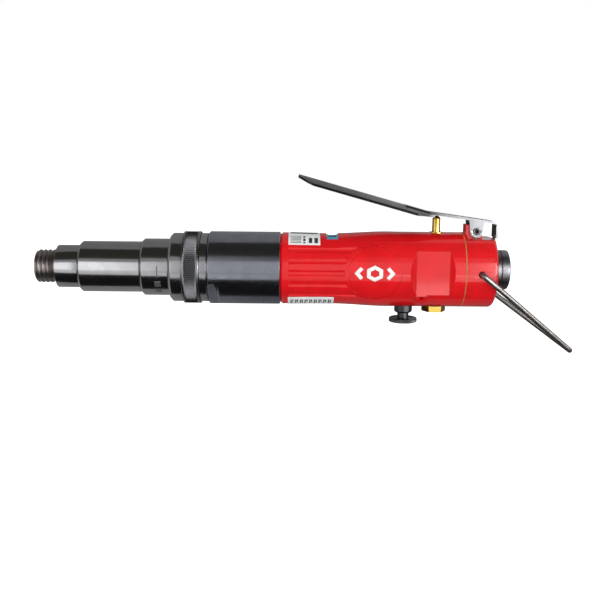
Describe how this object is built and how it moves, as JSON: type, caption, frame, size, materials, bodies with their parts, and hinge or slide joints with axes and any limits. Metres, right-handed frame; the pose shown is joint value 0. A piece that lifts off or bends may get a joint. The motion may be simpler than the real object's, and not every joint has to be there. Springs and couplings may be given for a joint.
{
  "type": "pneumatic rivet gun",
  "caption": "Straight lever-start air tool with a threaded stepped steel nose, knurled adjusting ring, red cast handle, reversing push knob, rear air inlet and wire hanging bail.",
  "frame": {"origin": "centre of the nose's front face, on the spindle axis", "axes": "+X along the spindle from the nose to the air inlet, +Z towards the throttle lever, +Y to the left seen from the nose end"},
  "size_m": [0.2838, 0.0458, 0.0933],
  "materials": {
    "blackened_steel": "black-oxided and polished",
    "red_enamel": "gloss red enamel on cast aluminium",
    "plain_steel": "ground",
    "bare_strip": "rolled spring steel, grey",
    "wire_steel": "drawn wire",
    "brass": "machined",
    "bronze": "sintered",
    "cast_aluminium": "machined",
    "vane_laminate": "phenolic laminate",
    "rubber": "moulded",
    "gasket_paper": "khaki fibre",
    "label_film": "printed film",
    "blue_plastic": "moulded",
    "black_plastic": "moulded",
    "spring_steel": "bright wire"
  },
  "bodies": {
    "housing": {"nose_piece": "blackened_steel", "nose_bush": "bronze", "bit_tube": "blackened_steel", "spindle_bush": "bronze", "marked_collar": "blackened_steel", "clutch_housing": "blackened_steel", "ring_retainer": "blackened_steel", "gear_housing": "blackened_steel", "ring_gear": "plain_steel", "carrier_bush": "bronze", "front_end_plate": "cast_aluminium", "rear_end_plate": "cast_aluminium", "motor_cylinder": "plain_steel", "motor_housing": "red_enamel", "exhaust_screen": "black_plastic", "exhaust_insert": "blue_plastic", "top_label": "label_film", "bottom_label": "label_film", "seam_gasket": "gasket_paper", "rear_housing": "red_enamel", "rear_screws": "plain_steel", "inlet_bushing": "blackened_steel", "inlet_screen": "plain_steel", "valve_bush": "brass", "valve_spring": "spring_steel", "valve_plug": "brass", "plug_washer": "rubber", "reverse_sleeve": "blackened_steel", "front_bearing_outer": "plain_steel", "front_bearing_balls": "plain_steel", "rear_bearing_outer": "plain_steel", "rear_bearing_balls": "plain_steel"},
    "spindle": {"spindle": "plain_steel", "bit_ball": "plain_steel", "bit_ring": "spring_steel", "clutch_driven_cam": "plain_steel", "clutch_balls": "plain_steel", "clutch_driving_cam": "plain_steel", "clutch_spring": "spring_steel", "spring_seat": "plain_steel", "adjusting_nut": "plain_steel", "planet_carrier": "plain_steel", "planet_pins": "plain_steel"},
    "rotor": {"rotor": "plain_steel", "rotor_vanes": "vane_laminate", "front_bearing_inner": "plain_steel", "rear_bearing_inner": "plain_steel"},
    "planet_1": {"planet_gear_1": "plain_steel"},
    "planet_2": {"planet_gear_2": "plain_steel"},
    "planet_3": {"planet_gear_3": "plain_steel"},
    "ring_cover": {"adjusting_ring": "blackened_steel"},
    "lever": {"lever": "bare_strip", "lever_pin": "blackened_steel"},
    "valve": {"valve_stem": "brass", "valve_seal": "rubber"},
    "reverser": {"reverse_spool": "plain_steel", "spool_seals": "rubber", "reverse_knob": "blackened_steel"},
    "bail": {"bail": "wire_steel"}
  },
  "joints": [
    {"name": "spindle_spin", "type": "hinge", "parent": "housing", "child": "spindle", "pos_m": [0.05, 0, 0], "axis": [1, 0, 0], "continuous": true},
    {"name": "rotor_spin", "type": "hinge", "parent": "housing", "child": "rotor", "pos_m": [0.15, 0, 0], "axis": [1, 0, 0], "continuous": true},
    {"name": "planet_spin_1", "type": "hinge", "parent": "spindle", "child": "planet_1", "pos_m": [0.1035, 0, 0.0096], "axis": [1, 0, 0], "continuous": true},
    {"name": "planet_spin_2", "type": "hinge", "parent": "spindle", "child": "planet_2", "pos_m": [0.1035, -0.00831, -0.0048], "axis": [1, 0, 0], "continuous": true},
    {"name": "planet_spin_3", "type": "hinge", "parent": "spindle", "child": "planet_3", "pos_m": [0.1035, 0.00831, -0.0048], "axis": [1, 0, 0], "continuous": true},
    {"name": "ring_turn", "type": "hinge", "parent": "housing", "child": "ring_cover", "pos_m": [0.08185, 0, 0], "axis": [1, 0, 0], "continuous": true},
    {"name": "lever_press", "type": "hinge", "parent": "housing", "child": "lever", "pos_m": [0.229, 0, 0.0205], "axis": [0, -1, 0], "range_deg": [0, 14], "stiffness_Nm_per_rad": 0.6, "springref_deg": -14.32},
    {"name": "valve_travel", "type": "slide", "parent": "housing", "child": "valve", "axis": [0, 0, -1], "range_m": [0, 0.0053], "deforming": ["valve_spring"]},
    {"name": "reverse_push", "type": "slide", "parent": "housing", "child": "reverser", "axis": [0, 0, 1], "range_m": [0, 0.002]},
    {"name": "bail_swing", "type": "hinge", "parent": "housing", "child": "bail", "pos_m": [0.2299, 0, 0], "axis": [0, 1, 0], "range_deg": [-125, 85]}
  ],
  "couplings": [
    {"joint": "rotor_spin", "follows": "spindle_spin", "ratio": 4},
    {"joint": "planet_spin_1", "follows": "spindle_spin", "ratio": -3},
    {"joint": "planet_spin_2", "follows": "spindle_spin", "ratio": -3},
    {"joint": "planet_spin_3", "follows": "spindle_spin", "ratio": -3},
    {"joint": "valve_travel", "follows": "lever_press", "m_per_rad": 0.0213}
  ]
}
